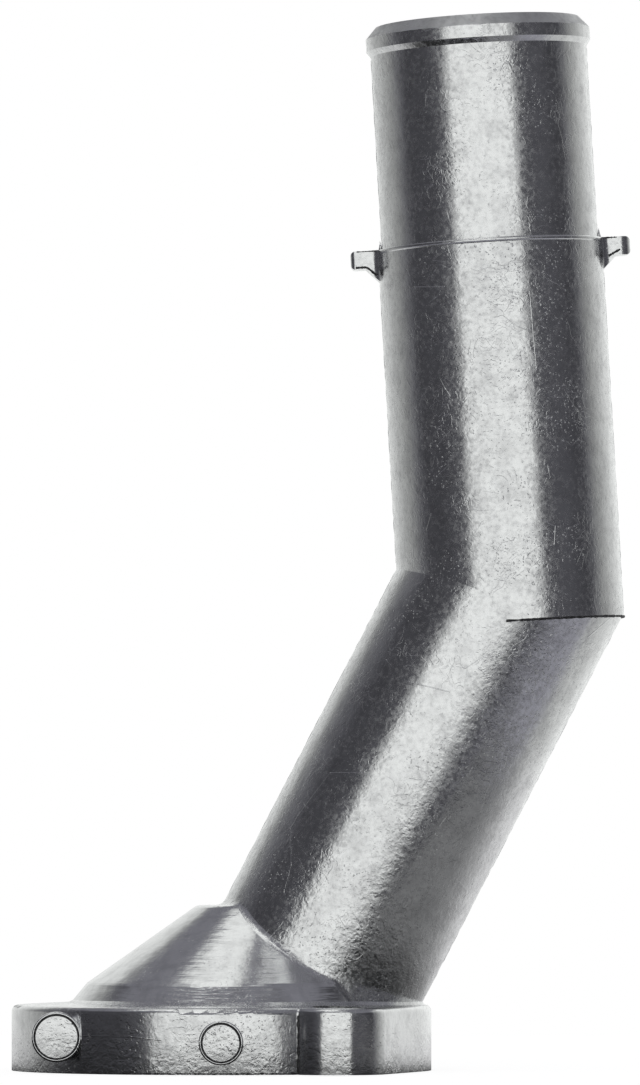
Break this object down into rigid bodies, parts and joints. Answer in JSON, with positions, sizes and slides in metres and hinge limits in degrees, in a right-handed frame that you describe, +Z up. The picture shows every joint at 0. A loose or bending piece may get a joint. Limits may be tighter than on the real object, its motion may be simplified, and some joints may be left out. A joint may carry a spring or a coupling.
{
  "type": "coolant flange",
  "caption": "One-piece cast coolant flange: a round plate with bolt lugs, a leaning dome over an inlet chamber, and a bent pipe that ends in a beaded hose neck.",
  "frame": {"origin": "centre of the round plate on its flat gasket face", "axes": "+Z up, away from the gasket face; +X to the side that the pipe leans to; +Y away from the side with the ejector pads"},
  "size_m": [0.1146, 0.079, 0.1952],
  "materials": {
    "cast_aluminium": "as-cast skin of a die casting: grey, half gloss, finely pitted, with flow marks"
  },
  "bodies": {
    "root": {"coolant_flange": "cast_aluminium"}
  },
  "joints": []
}
